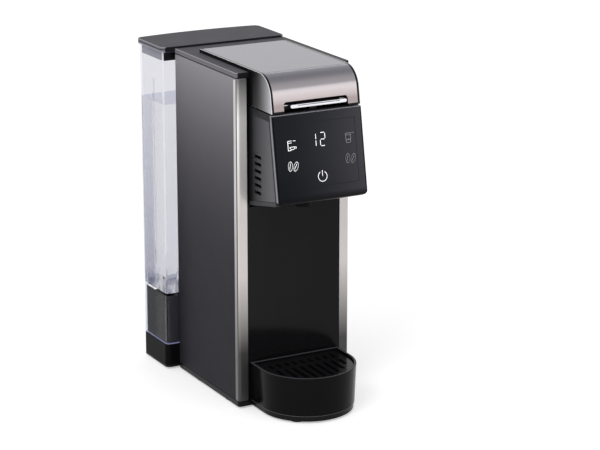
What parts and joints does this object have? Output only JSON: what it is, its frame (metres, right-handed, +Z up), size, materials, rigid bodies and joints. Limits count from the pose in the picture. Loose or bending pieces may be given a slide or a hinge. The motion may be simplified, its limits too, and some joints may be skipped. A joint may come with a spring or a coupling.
{
  "type": "single-cup coffee maker",
  "caption": "Slim single-cup coffee maker: hinged steel lid, sloping touch panel, round-fronted drip tray and a lift-off clear water tank behind.",
  "frame": {"origin": "centre of the whole machine's footprint, on the table", "axes": "+Z up, -Y is the front with the touch panel and drip tray, +X to the viewer's right of the front; the tank is at +Y"},
  "size_m": [0.1348, 0.2668, 0.331],
  "materials": {
    "gloss_black": "gloss",
    "satin_black": "satin",
    "head_grey": "satin",
    "side_grey": "satin",
    "deck_grey": "matte",
    "dock_black": "semi-gloss",
    "brushed_steel": "brushed",
    "bright_steel": "polished",
    "plain_steel": "satin",
    "bezel_silver": "satin silver",
    "panel_glass": "gloss",
    "clear_plastic": "clear",
    "white_plastic": "satin",
    "black_rubber": "matte",
    "silicone": "satin",
    "heater_metal": "cast",
    "board_green": "lacquered"
  },
  "bodies": {
    "machine": {"base_pan": "gloss_black", "front_column": "gloss_black", "rear_panel": "satin_black", "brew_deck": "satin_black", "head_bottom_cover": "satin_black", "pod_holder": "satin_black", "brew_funnel": "satin_black", "outlet_spout": "satin_black", "lid_switch": "satin_black", "water_coupling": "satin_black", "dock_cover_plate": "satin_black", "thermostat": "satin_black", "pump_body": "satin_black", "head_housing": "head_grey", "side_panel_left": "side_grey", "side_panel_right": "side_grey", "top_deck": "deck_grey", "tank_dock": "dock_black", "trim_strip_left": "brushed_steel", "trim_strip_right": "brushed_steel", "screws": "plain_steel", "lower_needle": "plain_steel", "hinge_pin": "plain_steel", "pump_bracket": "plain_steel", "pump_spring": "plain_steel", "boiler_bracket": "plain_steel", "hose_clamps": "plain_steel", "panel_bezel": "bezel_silver", "control_panel": "panel_glass", "flow_meter_body": "white_plastic", "thermal_fuse": "white_plastic", "rubber_feet": "black_rubber", "dock_seal": "black_rubber", "pump_mounts": "black_rubber", "cord_gland": "black_rubber", "wiring_loom": "black_rubber", "hoses": "silicone", "boiler": "heater_metal", "touch_board": "board_green", "power_board": "board_green"},
    "lid": {"lid_skin": "brushed_steel", "lid_body": "gloss_black", "lid_inner_cover": "satin_black", "upper_needle": "plain_steel", "needle_seal": "silicone", "lid_water_tube": "silicone", "latch_pin": "plain_steel", "latch_spring": "plain_steel"},
    "latch": {"lid_latch": "bright_steel"},
    "tank": {"tank_shell": "clear_plastic", "tank_valve_body": "white_plastic", "tank_filter": "white_plastic", "valve_spring": "plain_steel"},
    "tank_cover": {"tank_lid": "deck_grey"},
    "valve": {"valve_poppet": "white_plastic"},
    "tray": {"drip_tray": "gloss_black"},
    "grille": {"drip_grille": "gloss_black"},
    "plunger": {"switch_plunger": "white_plastic"},
    "armature": {"pump_armature": "plain_steel"},
    "impeller": {"flow_impeller": "white_plastic"}
  },
  "joints": [
    {"name": "lid_hinge", "type": "hinge", "parent": "machine", "child": "lid", "pos_m": [0.00625, 0.03733, 0.3265], "axis": [-1, 0, 0], "range_deg": [0, 100]},
    {"name": "latch_hinge", "type": "hinge", "parent": "lid", "child": "latch", "pos_m": [0.00625, -0.09754, 0.302], "axis": [-1, 0, 0], "range_deg": [0, 12], "stiffness_Nm_per_rad": 0.05, "springref_deg": -17.19},
    {"name": "tank_lift", "type": "slide", "parent": "machine", "child": "tank", "axis": [0, 0, 1], "range_m": [0, 0.11]},
    {"name": "tank_lid_lift", "type": "slide", "parent": "tank", "child": "tank_cover", "axis": [0, 0, 1], "range_m": [0, 0.06]},
    {"name": "valve_lift", "type": "slide", "parent": "tank", "child": "valve", "axis": [0, 0, 1], "range_m": [0, 0.0025], "stiffness_N_per_m": 100, "springref_m": -0.002, "deforming": ["valve_spring"]},
    {"name": "tray_slide", "type": "slide", "parent": "machine", "child": "tray", "axis": [0, -1, 0], "range_m": [0, 0.12]},
    {"name": "grille_lift", "type": "slide", "parent": "tray", "child": "grille", "axis": [0, 0, 1], "range_m": [0, 0.03]},
    {"name": "switch_press", "type": "slide", "parent": "machine", "child": "plunger", "axis": [0, 0, -1], "range_m": [0, 0.0015], "stiffness_N_per_m": 300, "springref_m": -0.001},
    {"name": "piston_slide", "type": "slide", "parent": "machine", "child": "armature", "axis": [0, 0, 1], "range_m": [-0.0015, 0.0015], "stiffness_N_per_m": 2000, "deforming": ["pump_spring"]},
    {"name": "impeller_spin", "type": "hinge", "parent": "machine", "child": "impeller", "pos_m": [-0.03175, 0.03683, 0.015], "axis": [0, 0, 1], "continuous": true}
  ]
}
